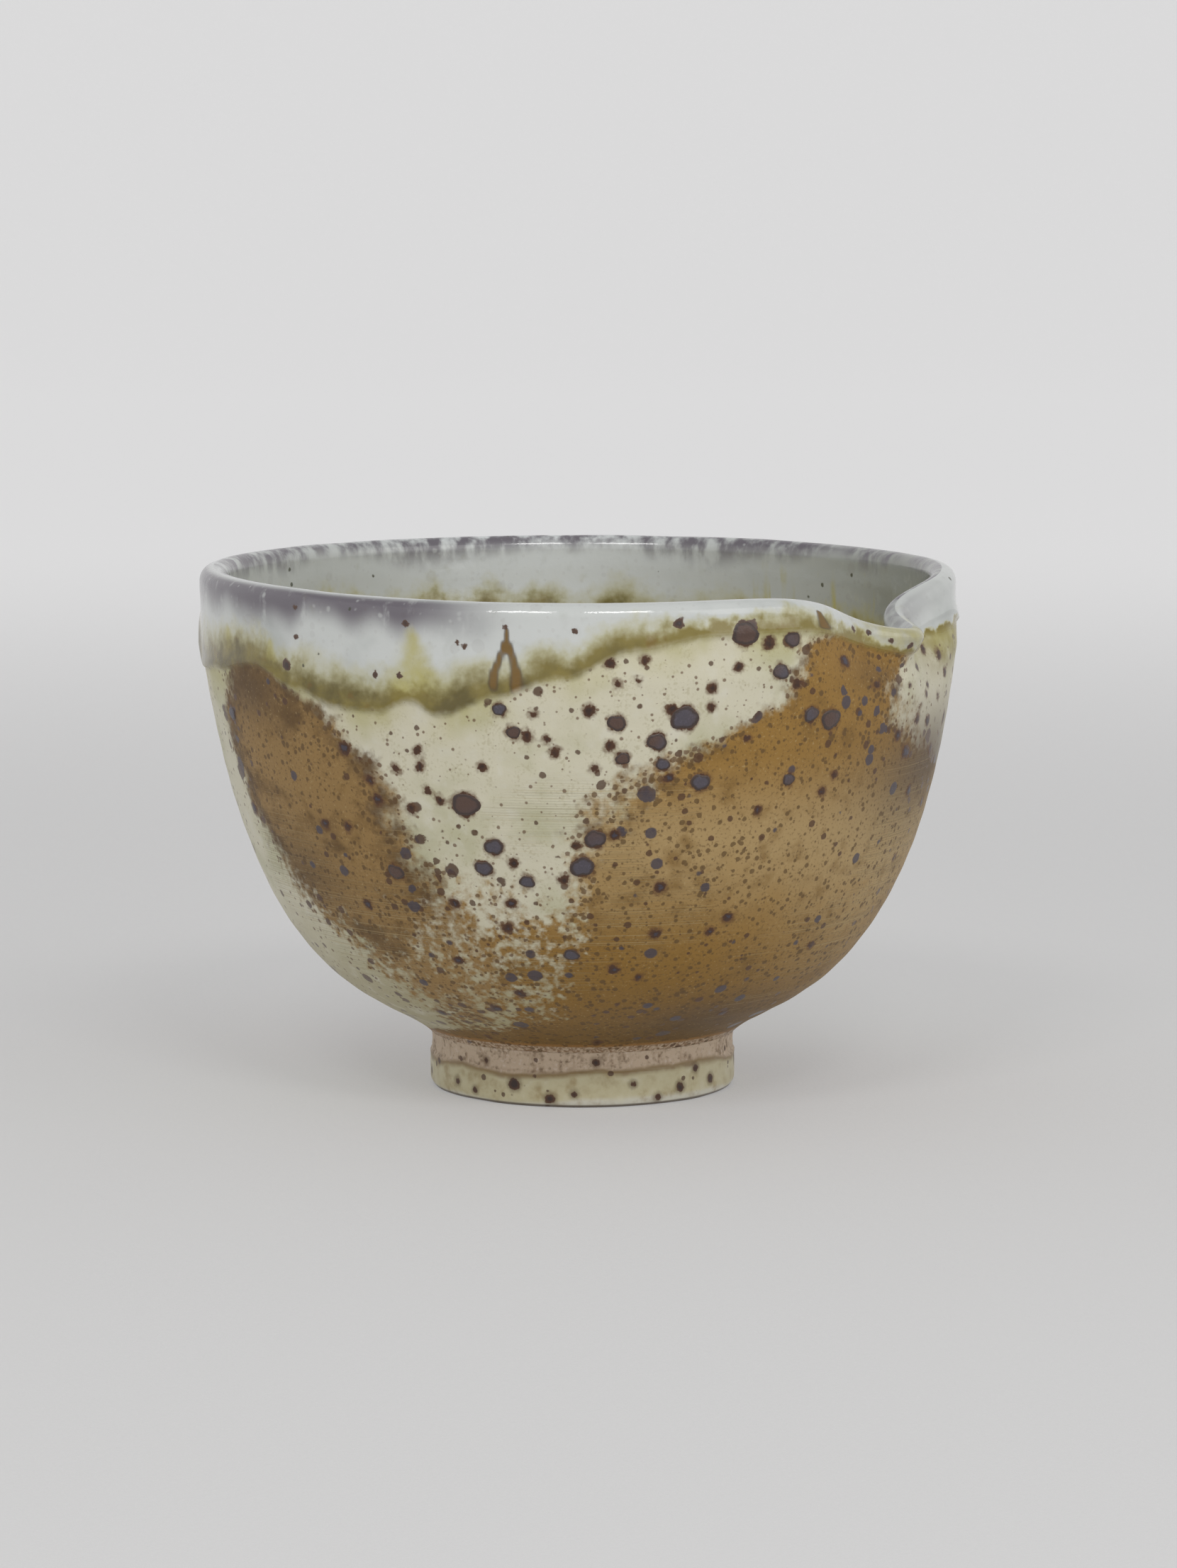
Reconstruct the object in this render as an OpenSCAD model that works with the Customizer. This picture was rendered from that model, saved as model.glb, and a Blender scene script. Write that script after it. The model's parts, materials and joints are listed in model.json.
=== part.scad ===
// Matcha bowl with a small pouring lip, wheel thrown in stoneware and dressed in two glazes.
// Units are millimetres. The origin is the centre of the ring that the foot rests on,
// +Z is up and +X runs out through the pouring lip. Angles turn about +Z from +X.

/* [Bowl] */
// Diameter across the rim, over the glaze
rim_d = 120; // [114:1:126]
// Height of the rim above the table
bowl_h = 83; // [79:1:87]
// Thickness of the glazed lip
lip_t = 4.4; // [3.8:0.2:5.4]
// Height of the middle of the inside above the table
floor_h = 13.6; // [12.8:0.2:16]
// How far the rim wavers up and down from level
rim_waver = 0.3; // [0:0.1:0.6]
// How far the rim's centre has drifted from the foot's on the wheel
rim_drift = 0.7; // [0:0.1:0.8]

/* [Foot ring] */
// Diameter of the foot, over the glaze
foot_d = 48.8; // [46:0.4:54]
// Height of the foot up to the bowl's underside
foot_h = 8.8; // [8:0.2:10]
// Diameter of the hollow turned under the foot
recess_d = 36; // [32:1:38]
// Depth of the hollow turned under the foot
recess_h = 5; // [4.6:0.2:5.6]
// Radius of the foot's outer bottom edge
foot_round = 1.4; // [1:0.2:1.8]

/* [Pouring lip] */
// How far the pouring lip dips below the rim
lip_dip = 7; // [5:0.2:8]
// How far its tip is pulled out past the wall
lip_reach = 1.8; // [1:0.1:2.2]
// How far the wall is pinched in on the tip's right, seen from outside
pinch_right = 5.4; // [1:0.2:5.6]
// How far the wall is pinched in on the tip's left, seen from outside
pinch_left = 2.6; // [1:0.2:5.2]

/* [Glaze] */
// Thickness of each coat of glaze
glaze_t = 0.5; // [0.3:0.05:0.7]
// How far the iron blooms stand out of the glaze
bloom_rise = 0.2; // [0.1:0.05:0.3]

/* [Hidden] */

rim_r = rim_d / 2;
foot_r = foot_d / 2;
recess_r = recess_d / 2;
lip_r = lip_t / 2;
lip_base_z = bowl_h - lip_r;
lip_mid_r = rim_r - lip_r;
belly_top_z = bowl_h - 12;

// Bezier handles of the outer wall, from the foot to where the wall stands upright
wall_w = rim_r - foot_r;
wall_h = belly_top_z - foot_h;
OUTER_CURVE = [
    [foot_r, foot_h],
    [foot_r + 0.2 * wall_w, foot_h + 0.12 * wall_h],
    [foot_r + 0.79 * wall_w, foot_h + 0.07 * wall_h],
    [rim_r, belly_top_z]
];

// Bezier handles of the inside, from the lip to the middle of the floor
INNER_CURVE = [
    [rim_r - lip_t, lip_base_z],
    [rim_r - lip_t, 0.55 * bowl_h],
    [0.79 * rim_r, floor_h],
    [0, floor_h]
];

// Angle and height of points along the wavy lower edge of the collar glaze
RUN_LINE = [
    [-180, 73], [-165, 71], [-150, 74], [-140, 68], [-130, 69], [-115, 71], [-105, 68], [-97, 66],
    [-90, 66], [-85, 68], [-80, 66], [-72, 69], [-62, 72], [-52, 76], [-40, 78], [-20, 78.5],
    [0, 78.5], [20, 78], [35, 74], [50, 70], [62, 72], [75, 67], [90, 70], [105, 66], [120, 71],
    [135, 68], [150, 72], [165, 69], [180, 73]
];

// Angle, height and diameter of the largest iron blooms
BLOOMS = [
    [-77, 52, 4], [-35, 78, 4], [-29, 72, 2.6], [-27, 77, 2.6], [-19, 64, 3.6], [-23, 65, 2.6],
    [-44, 65.5, 4], [-48, 62, 2.8], [-54, 65, 2.6], [-41, 55.5, 2.8], [-57, 47, 3], [-59, 42.5, 3.4],
    [-73, 45.5, 2.8], [-75, 42, 2.6], [-91, 40.5, 2.6], [-47, 58.5, 2], [-53, 59.5, 2], [-69, 63.5, 2],
    [-71, 67, 2], [-26, 55, 2], [-61, 28, 2.2], [-68, 40, 2.2], [-126, 62, 2.4], [70, 52, 3],
    [96, 60, 2.6], [118, 44, 3], [140, 57, 2.4], [165, 38, 2.8], [-165, 55, 2.6]
];

CLAY = [0.62, 0.47, 0.34];
PALE_GLAZE = [0.72, 0.75, 0.74];
BODY_GLAZE = [0.78, 0.72, 0.52];
IRON = [0.14, 0.1, 0.11];

// Angles of the grid's columns: close together over the pouring lip, wider round the rest
fine_half = 36;
fine_step = 2.4;
wide_step = 7.2;
ANGLES = concat(
    [for (a = [-fine_half : fine_step : fine_half - 0.1]) a],
    [for (a = [fine_half : wide_step : 360 - fine_half - 0.1]) a]
);
n_cols = len(ANGLES);

// Rows of the grid over each stretch of the skin
wall_rows = 13;
collar_rows = 5;
lip_rows = 3;
inner_rows = 18;

function bezier(p, t) =
    pow(1 - t, 3) * p[0] + 3 * pow(1 - t, 2) * t * p[1] + 3 * (1 - t) * t * t * p[2] + pow(t, 3) * p[3];
function bezier_slope(p, t) =
    pow(1 - t, 2) * (p[1] - p[0]) + 2 * (1 - t) * t * (p[2] - p[1]) + t * t * (p[3] - p[2]);
function unit(v) = v / norm(v);
function turned_right(v) = [v[1], -v[0]];
function bell(x) = exp(-x * x);

// Curve position of each height on the outer wall, for looking a height up
HEIGHT_TO_T = [for (t = [0 : 0.01 : 1.001]) [bezier(OUTER_CURVE, t)[1], t]];
function outer_t(z) = lookup(z, HEIGHT_TO_T);
function outer_r(z) = z < belly_top_z ? bezier(OUTER_CURVE, outer_t(z))[0] : rim_r;

// A station is [point, outward normal] on the glazed surface's half section
function wall_station(z) =
    z <= foot_h ? [[foot_r, foot_h], [1, 0]]
    : z < belly_top_z ? [[outer_r(z), z], unit(turned_right(bezier_slope(OUTER_CURVE, outer_t(z))))]
    : [[rim_r, z], [1, 0]];
function lip_station(a) = [[lip_mid_r, lip_base_z] + lip_r * [cos(a), sin(a)], [cos(a), sin(a)]];
function inner_station(t) =
    [bezier(INNER_CURVE, t), t >= 1 ? [0, 1] : unit(turned_right(bezier_slope(INNER_CURVE, t)))];

// Height of the collar glaze's edge at an angle, eased between the points of RUN_LINE
function wrapped(a) = a > 180 ? a - 360 : a;
function eased(u) = (1 - cos(180 * u)) / 2;
function run_z(a, i = 0) =
    let (p = RUN_LINE[i], q = RUN_LINE[i + 1])
    a <= q[0] || i == len(RUN_LINE) - 2
    ? p[1] + (q[1] - p[1]) * eased((a - p[0]) / (q[0] - p[0]))
    : run_z(a, i + 1);

// The pouring lip: how much the clay is moved at an angle and a depth below the rim
pinch_angle = 11;
pinch_width = 9;
tip_width = 6.5;
dip_width = 17;
dip_fade = 13;
pinch_fade = 13;
tip_fade = 5;
function dip(a) = lip_dip * bell(a / dip_width);
function pinch(a) =
    pinch_right * bell((a - pinch_angle) / pinch_width) + pinch_left * bell((a + pinch_angle) / pinch_width);
function reach(a) = (lip_reach + pinch(0)) * bell(a / tip_width);

// Small faults of hand throwing: a rim that wavers in height and sits a little off centre
drift_angle = 211;
function waver(a) = rim_waver * (sin(2 * a + 40) + 0.5 * sin(3 * a + 100)) / 1.5;
function drift(a) = rim_drift * cos(a - drift_angle);

function placed(p, a) =
    let (
        b = wrapped(a),
        depth = bowl_h - p[1],
        out = reach(b) * bell(depth / tip_fade) - pinch(b) * bell(depth / pinch_fade),
        down = dip(b) * bell(depth / dip_fade),
        up_share = pow(max(0, (p[1] - foot_h) / (bowl_h - foot_h)), 2) * min(1, p[0] / foot_r),
        r = p[0] + out * min(1, p[0] / lip_mid_r) + drift(b) * up_share
    )
    [r * cos(a), r * sin(a), p[1] - down + waver(b) * up_share];

// One row of points round the bowl, in_by millimetres below the glazed surface
function row(stations, in_by) =
    [for (j = [0 : n_cols - 1]) placed(stations[j][0] - in_by * stations[j][1], ANGLES[j])];
function even(s) = [for (j = [0 : n_cols - 1]) s];

WALL_STATIONS = [
    for (i = [0 : wall_rows])
        [for (a = ANGLES) wall_station(foot_h + (run_z(wrapped(a)) - foot_h) * pow(i / wall_rows, 1.25))]
];
COLLAR_STATIONS = concat(
    [
        for (i = [0 : collar_rows])
            [for (a = ANGLES) wall_station(run_z(wrapped(a)) + (lip_base_z - run_z(wrapped(a))) * i / collar_rows)]
    ],
    [for (i = [1 : lip_rows]) even(lip_station(90 * i / lip_rows))]
);
LINER_STATIONS = concat(
    [for (i = [0 : lip_rows]) even(lip_station(90 + 90 * i / lip_rows))],
    [for (i = [1 : inner_rows - 1]) even(inner_station(i / inner_rows))]
);

// Faces between rows of points, and fans that close a row onto one middle point
function band_faces(n_rows) = [
    for (i = [0 : n_rows - 2], j = [0 : n_cols - 1])
        let (k = (j + 1) % n_cols, a = i * n_cols, b = a + n_cols)
        each [[a + j, b + j, b + k], [a + j, b + k, a + k]]
];
function fan_faces(first, middle, flip) = [
    for (j = [0 : n_cols - 1])
        let (k = (j + 1) % n_cols)
        flip ? [first + k, middle, first + j] : [first + j, middle, first + k]
];
function ring_points(rows) = [for (r = rows) each r];

// A skin of glaze that goes once round the bowl, between two edges
module glaze_band(stations) {
    n = len(stations);
    outside = [for (i = [0 : n - 1]) row(stations[i], 0)];
    inside = [for (i = [n - 1 : -1 : 0]) row(stations[i], glaze_t)];
    rows = concat(outside, inside, [outside[0]]);
    count = 2 * n * n_cols;
    polyhedron(ring_points(concat(outside, inside)), [
        for (f = band_faces(2 * n + 1)) [for (v = f) v % count]
    ]);
}

module bowl_wall() {
    stations = concat(
        WALL_STATIONS,
        [for (i = [1 : len(COLLAR_STATIONS) - 1]) COLLAR_STATIONS[i]],
        [for (i = [1 : len(LINER_STATIONS) - 1]) LINER_STATIONS[i]]
    );
    n = len(stations);
    points = concat(
        ring_points([for (s = stations) row(s, glaze_t)]),
        [[0, 0, floor_h - glaze_t], [0, 0, foot_h]]
    );
    faces = concat(
        band_faces(n),
        fan_faces((n - 1) * n_cols, n * n_cols, false),
        fan_faces(0, n * n_cols + 1, true)
    );
    color(CLAY) polyhedron(points, faces);
}

module foot_ring() {
    clay_r = foot_r - glaze_t;
    taper = 1;
    edge_steps = 8;
    edge = [
        for (i = [0 : edge_steps])
            let (a = -90 + 90 * i / edge_steps)
            [clay_r - foot_round + foot_round * cos(a), foot_round + foot_round * sin(a)]
    ];
    outline = concat(
        [[0, recess_h], [recess_r - taper, recess_h], [recess_r, 0]],
        edge,
        [[clay_r, foot_h], [0, foot_h]]
    );
    color(CLAY) rotate_extrude($fn = 96) polygon(outline);
}

module liner_glaze() {
    n = len(LINER_STATIONS);
    outside = [for (s = LINER_STATIONS) row(s, 0)];
    inside = [for (s = LINER_STATIONS) row(s, glaze_t)];
    half = n * n_cols;
    points = concat(
        ring_points(outside), ring_points(inside),
        [[0, 0, floor_h], [0, 0, floor_h - glaze_t]]
    );
    edge_faces = [
        for (j = [0 : n_cols - 1])
            let (k = (j + 1) % n_cols)
            each [[half + j, j, k], [half + j, k, half + k]]
    ];
    faces = concat(
        band_faces(n),
        [for (f = band_faces(n)) [half + f[2], half + f[1], half + f[0]]],
        fan_faces((n - 1) * n_cols, 2 * half, false),
        fan_faces(half + (n - 1) * n_cols, 2 * half + 1, true),
        edge_faces
    );
    color(PALE_GLAZE) polyhedron(points, faces);
}

module collar_glaze() {
    color(PALE_GLAZE) glaze_band(COLLAR_STATIONS);
}

module wall_glaze() {
    color(BODY_GLAZE) glaze_band(WALL_STATIONS);
}

module foot_glaze() {
    clay_r = foot_r - glaze_t;
    edge_steps = 4;
    wrap = 45;
    function edge(r) = [
        for (i = [0 : edge_steps])
            let (a = -wrap + wrap * i / edge_steps)
            [clay_r - foot_round + r * cos(a), foot_round + r * sin(a)]
    ];
    inner = edge(foot_round);
    outer = edge(foot_round + glaze_t);
    outline = concat(
        outer,
        [[foot_r, foot_h], [clay_r, foot_h]],
        [for (i = [edge_steps : -1 : 0]) inner[i]]
    );
    color(BODY_GLAZE) rotate_extrude($fn = 96) polygon(outline);
}

// One bloom: a low round dome whose rim sinks a little into the glaze
module bloom(d) {
    sunk = 0.1;
    rotate_extrude($fn = 24)
        polygon([[0, -sunk], [d / 2, -sunk], [0.45 * d, 0.4 * bloom_rise], [0.25 * d, bloom_rise], [0, bloom_rise]]);
}

module iron_blooms() {
    color(IRON)
        for (b = BLOOMS) {
            station = wall_station(b[1]);
            normal = station[1];
            translate(placed(station[0], b[0]))
                rotate([0, 0, b[0]])
                rotate([0, 90 - atan2(normal[1], normal[0]), 0])
                bloom(b[2]);
        }
}

bowl_wall();
foot_ring();
liner_glaze();
collar_glaze();
wall_glaze();
foot_glaze();
iron_blooms();
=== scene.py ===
"""Matcha bowl with a pouring lip: glazes, iron spots, light and camera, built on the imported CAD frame.

Lengths are millimetres and angles degrees about +Z from +X, the way the bowl is drawn; points become metres
only when a mesh is made. A place on the bowl is an angle and a distance s along the glazed half section,
which runs from the foot's join up the outside, over the lip and down to the middle of the floor.
"""

import json
from itertools import product
from types import SimpleNamespace

import bpy
import numpy as np
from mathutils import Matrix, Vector

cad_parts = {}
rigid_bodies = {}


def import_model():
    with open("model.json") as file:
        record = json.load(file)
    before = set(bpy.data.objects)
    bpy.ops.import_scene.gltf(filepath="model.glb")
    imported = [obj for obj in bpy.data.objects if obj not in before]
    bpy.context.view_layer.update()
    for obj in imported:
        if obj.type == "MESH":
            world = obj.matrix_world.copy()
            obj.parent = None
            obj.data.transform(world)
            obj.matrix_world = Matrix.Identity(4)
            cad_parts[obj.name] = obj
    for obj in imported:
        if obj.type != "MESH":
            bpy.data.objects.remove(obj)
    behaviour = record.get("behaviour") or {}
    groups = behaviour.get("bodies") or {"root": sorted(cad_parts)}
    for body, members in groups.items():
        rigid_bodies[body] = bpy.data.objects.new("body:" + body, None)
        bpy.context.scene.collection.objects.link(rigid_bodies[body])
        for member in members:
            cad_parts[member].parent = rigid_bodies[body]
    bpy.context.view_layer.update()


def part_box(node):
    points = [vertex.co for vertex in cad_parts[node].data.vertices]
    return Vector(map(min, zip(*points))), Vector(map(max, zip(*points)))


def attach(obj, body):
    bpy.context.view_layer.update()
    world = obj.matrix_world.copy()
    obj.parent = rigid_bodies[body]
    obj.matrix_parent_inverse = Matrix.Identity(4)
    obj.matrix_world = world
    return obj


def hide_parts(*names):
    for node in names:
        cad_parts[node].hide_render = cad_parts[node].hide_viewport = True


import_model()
MM = 0.001

# Driving sizes, as in the CAD model; the foot's are read from the frame
RIM_R = 60.0
BOWL_H = 83.0
LIP_T = 4.4
FLOOR_H = 13.6
GLAZE_T = 0.5
FOOT_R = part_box("foot_glaze")[1].x / MM
FOOT_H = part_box("foot_ring")[1].z / MM
FOOT_ROUND = 1.4
RECESS_R = 18.0
RECESS_H = 5.0
RIM_WAVER = 0.3
RIM_DRIFT = 0.7
LIP_DIP = 7
LIP_REACH = 1.8
PINCH_RIGHT = 5.4
PINCH_LEFT = 2.6
LIP_R = LIP_T / 2
LIP_BASE_Z = BOWL_H - LIP_R
LIP_MID_R = RIM_R - LIP_R
BELLY_TOP_Z = BOWL_H - 12
CLAY_R = FOOT_R - GLAZE_T
BEND = [CLAY_R - FOOT_ROUND, FOOT_ROUND]

# Angle and height of points along the wavy lower edge of the dipped rim glaze, outside and inside
RUN_LINE = [
    (-180, 73), (-165, 71), (-150, 74), (-140, 68), (-130, 69), (-115, 71), (-105, 68), (-97, 66),
    (-90, 66), (-85, 68), (-80, 66), (-72, 69), (-62, 72), (-52, 76), (-40, 78), (-20, 78.5),
    (0, 78.5), (20, 78), (35, 74), (50, 70), (62, 72), (75, 67), (90, 70), (105, 66), (120, 71),
    (135, 68), (150, 72), (165, 69), (180, 73),
]
INNER_RUN_LINE = [
    (-180, 71), (-165, 73), (-150, 70), (-130, 72), (-110, 70), (-90, 73), (-70, 70), (-50, 72),
    (-30, 70), (-10, 71), (10, 70), (30, 72), (50, 70), (70, 71.5), (84, 71), (95, 72.5), (105, 71),
    (115, 74), (121, 71.5), (128, 74), (133, 72), (138, 74.5), (142, 72), (148, 74.5), (157, 72),
    (170, 75), (180, 71),
]
# Angle and depth of the olive band where the dipped glaze breaks over the glaze below
OLIVE_BAND = [
    (-180, 4), (-125, 5), (-110, 4), (-98, 5.5), (-90, 4.5), (-85, 2.6), (-79, 5.5), (-70, 4.2),
    (-50, 3.4), (-38, 1.8), (-26, 3), (-15, 2), (-5, 1.2), (5, 0.8), (28, 0.8), (42, 3), (50, 5),
    (75, 4), (105, 5.5), (140, 4), (180, 4),
]

# Angle, height and diameter of the iron blooms that the CAD model holds
BLOOMS = [
    (-77, 52, 4), (-35, 78, 4), (-29, 72, 2.6), (-27, 77, 2.6), (-19, 64, 3.6), (-23, 65, 2.6),
    (-44, 65.5, 4), (-48, 62, 2.8), (-54, 65, 2.6), (-41, 55.5, 2.8), (-57, 47, 3), (-59, 42.5, 3.4),
    (-73, 45.5, 2.8), (-75, 42, 2.6), (-91, 40.5, 2.6), (-47, 58.5, 2), (-53, 59.5, 2), (-69, 63.5, 2),
    (-71, 67, 2), (-26, 55, 2), (-61, 28, 2.2), (-68, 40, 2.2), (-126, 62, 2.4), (70, 52, 3),
    (96, 60, 2.6), (118, 44, 3), (140, 57, 2.4), (165, 38, 2.8), (-165, 55, 2.6),
]
# The same for smaller iron spots that lie in the glaze
SPOTS = [
    (-16, 74, 2.2), (-34, 79, 2.2), (-46, 67, 1.8), (-46, 56.5, 1.6), (-67, 63, 1.8), (-55, 74, 1.6),
    (-45, 80, 1.6), (-36, 73, 1.6), (-40, 70, 1.6), (-9, 70, 1.6), (-84, 60, 1.6), (-84, 57.5, 1.4),
    (-88, 57, 1.4),
    (-81, 52.5, 1.6), (-83, 54, 1.3), (-104, 47, 1.6), (-99, 47, 1.4), (-93, 55, 1.6), (-99, 34.5, 1.6),
    (-70, 43, 1.6), (-71, 36.5, 1.8), (-72, 32.5, 1.8), (-126, 47, 2), (-96, 16, 1.6), (-79, 18, 2),
    (-53, 25.5, 1.8), (-48, 24, 1.2), (-46, 39, 1.8), (-46, 31.5, 1.8), (-22, 16, 1.6), (-54, 11, 1.4),
    (-58, 67, 1.8), (-40, 67, 1.2), (-64, 62.5, 1.2), (-63, 60.5, 1.6), (-66, 66.5, 1.2), (-74, 58, 1.4),
    (-57, 58, 1.4), (-55, 61.5, 1.6), (-26, 70, 1.6), (-31, 76.5, 2), (-34, 62, 1.2), (-19, 52.5, 1.4),
    (-17, 55, 1.2), (-31, 50.5, 1.4), (-36, 31.5, 1.5), (-33, 33.5, 1.8), (-60, 46, 1.5), (-62, 40.5, 1.6),
    (-54, 47.5, 1.6), (-86, 51, 1.6), (-92, 52, 1.6), (-97, 59.5, 2.2), (-81, 36, 1.8), (-83, 26.5, 1.6),
    (-72, 21, 1.8), (-50, 74.5, 1.4), (-54, 71, 1.2), (-51, 71.5, 1.1), (-10, 27, 1.4), (9, 39, 1.2),
    (1, 57, 2.2), (0, 69.5, 1.2), (9, 67.5, 1.4), (-107, 71.5, 2), (-85, 79.5, 1), (-70, 79.5, 1),
    (-13, 80.5, 0.9), (-9.5, 81, 0.9), (-6, 80.5, 1), (-2.5, 80, 1.3), (1, 80.8, 0.8), (-77, 77, 0.7),
    (5, 73, 1.8), (12, 74, 1.6), (16, 71.5, 1.8), (8, 66, 1.4), (4, 62, 1.8), (9, 61, 2), (18, 68, 1.6),
    (14, 64.5, 1.4), (20, 60, 2), (2, 56.5, 1.6), (13, 56, 1.8), (-2, 60, 1.8), (6, 50, 1.8), (16, 47, 1.6),
    (-105, 80.5, 0.9), (-105, 76, 0.8), (-90, 71.5, 1), (-86, 71.5, 0.8), (-76, 76.5, 0.9), (-60, 79, 0.7),
]
# The same on the foot
FOOT_SPOTS = [
    (-113, 2.5, 1.2), (-85, 3.4, 2), (-71, 1.4, 1.6), (-62, 2.2, 1), (-20, 2.4, 1.6), (-54, 7.2, 1.3),
    (-12, 5, 1.2), (-98, 6.6, 0.9), (-40, 3.6, 0.9), (-30, 1.2, 1.1), (-103, 1.6, 1), (-3, 2.8, 1.5),
    (25, 4, 1.4), (52, 2.2, 1.8), (80, 5.5, 1.2), (101, 3, 1.6), (133, 2, 1.4), (158, 4.6, 1.8),
    (-160, 3, 1.5), (-140, 2.4, 1.2), (-128, 4.8, 1),
]
# Distance given to places that are far from every spot, and the most that a patch distance may be
SPOT_FAR = 4.0
PATCH_FAR = 9

# Angles of the columns of points round the bowl
COLUMNS = 640
ANGLES = np.arange(COLUMNS) * 360 / COLUMNS - 180
# The unseen side of a glaze has one row of points for so many on its outside
HIDDEN_EVERY = 10


def bezier(p, t):
    """Points of a cubic curve with handles p, at each t from 0 to 1."""
    t = np.asarray(t, float)[..., None]
    return (1 - t) ** 3 * p[0] + 3 * (1 - t) ** 2 * t * p[1] + 3 * (1 - t) * t * t * p[2] + t**3 * p[3]


def half_section():
    """Points of the glazed half section from the foot's join to the middle of the floor."""
    w, h = RIM_R - FOOT_R, BELLY_TOP_Z - FOOT_H
    outer = np.array([
        [FOOT_R, FOOT_H],
        [FOOT_R + 0.2 * w, FOOT_H + 0.12 * h],
        [FOOT_R + 0.79 * w, FOOT_H + 0.07 * h],
        [RIM_R, BELLY_TOP_Z],
    ])
    inner = np.array([
        [RIM_R - LIP_T, LIP_BASE_Z],
        [RIM_R - LIP_T, 0.55 * BOWL_H],
        [0.79 * RIM_R, FLOOR_H],
        [0, FLOOR_H],
    ])
    turn = np.linspace(0, np.pi, 121)
    lip = np.stack([LIP_MID_R + LIP_R * np.cos(turn), LIP_BASE_Z + LIP_R * np.sin(turn)], -1)
    steps = np.linspace(0, 1, 801)
    return np.concatenate([bezier(outer, steps), lip, bezier(inner, steps)[1:]])


SECTION = half_section()
_gap = np.linalg.norm(np.diff(SECTION, axis=0), axis=1)
SECTION = SECTION[np.concatenate([[True], _gap > 1e-6])]
SECTION_S = np.concatenate([[0], np.cumsum(np.linalg.norm(np.diff(SECTION, axis=0), axis=1))])
_slope = np.gradient(SECTION, SECTION_S, axis=0)
SECTION_N = np.stack([_slope[:, 1], -_slope[:, 0]], -1)
SECTION_N /= np.linalg.norm(SECTION_N, axis=1)[:, None]
CREST = int(SECTION[:, 1].argmax())
S_CREST = SECTION_S[CREST]
S_END = SECTION_S[-1]


def s_outside(z):
    return np.interp(z, SECTION[: CREST + 1, 1], SECTION_S[: CREST + 1])


def s_inside(z):
    return np.interp(-np.asarray(z, float), -SECTION[CREST:, 1], SECTION_S[CREST:])


def section_at(s):
    """Radius, height and outward normal of the half section at s."""
    return [np.interp(s, SECTION_S, c) for c in (*SECTION.T, *SECTION_N.T)]


def bell(x):
    return np.exp(-x * x)


def wrapped(a):
    return (np.asarray(a, float) + 180) % 360 - 180


def eased(pairs, a):
    """Value at angle a of a line of (angle, value) points, eased between them."""
    xs, ys = np.array(pairs, float).T
    a = wrapped(a)
    i = np.clip(np.searchsorted(xs, a) - 1, 0, len(xs) - 2)
    u = (1 - np.cos(np.pi * (a - xs[i]) / (xs[i + 1] - xs[i]))) / 2
    return ys[i] + (ys[i + 1] - ys[i]) * u


def smooth_step(lo, hi, x):
    u = np.clip((x - lo) / (hi - lo), 0, 1)
    return u * u * (3 - 2 * u)


def value_noise(points, cell, seed):
    """Smooth noise from -1 to 1 at each point, on a lattice with the given cell size."""
    p = points / cell
    base = np.floor(p).astype(np.int64)
    f = p - base
    f = f * f * (3 - 2 * f)
    total = np.zeros(points.shape[:-1])
    for corner in product((0, 1), repeat=3):
        key = base + corner
        mixed = key[..., 0] * 73856093 ^ key[..., 1] * 19349663 ^ key[..., 2] * 83492791 ^ seed * 97531
        mixed = ((mixed & 0xFFFFFF) * 1103515245 + 12345) >> 8 & 0xFFFF
        weight = np.prod(np.where(corner, f, 1 - f), axis=-1)
        total += weight * (mixed / 32767.5 - 1)
    return total


def placed(r, z, a):
    """Where a point of the half section goes: the pouring lip and the small faults of throwing move it."""
    b = wrapped(a)
    depth = BOWL_H - z

    def pinch(c):
        return PINCH_RIGHT * bell((c - 11) / 9) + PINCH_LEFT * bell((c + 11) / 9)

    out = (LIP_REACH + pinch(0)) * bell(b / 6.5) * bell(depth / 5) - pinch(b) * bell(depth / 13)
    down = LIP_DIP * bell(b / 17) * bell(depth / 13)
    share = np.clip((z - FOOT_H) / (BOWL_H - FOOT_H), 0, None) ** 2 * np.minimum(1, r / FOOT_R)
    waver = RIM_WAVER * (np.sin(np.radians(2 * b + 40)) + 0.5 * np.sin(np.radians(3 * b + 100))) / 1.5
    drift = RIM_DRIFT * np.cos(np.radians(b - 211))
    r = r + out * np.minimum(1, r / LIP_MID_R) + drift * share
    t = np.radians(a)
    return np.stack([r * np.cos(t), r * np.sin(t), z - down + waver * share], -1)


def run_distance(a, s):
    """How far a place lies inside the dipped rim glaze, from the nearer of its two edges."""
    outside = s - s_outside(eased(RUN_LINE, a))
    inside = s_inside(eased(INNER_RUN_LINE, a)) + eased(OLIVE_BAND, a) - s
    return np.minimum(outside, inside)


def spot_distance(a, s, r, spots):
    """How far a place lies inside the nearest iron spot; outside them all it is negative."""
    best = np.full(a.shape, -SPOT_FAR)
    for angle, z, size in spots:
        across = wrapped(a - angle) * np.radians(1) * r
        along = s - s_outside(z)
        reach = size / 2 + SPOT_FAR
        near = (np.abs(across) < reach) & (np.abs(along) < reach) & (s < S_CREST)
        best[near] = np.maximum(best[near], size / 2 - np.hypot(across[near], along[near]))
    return best


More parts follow.
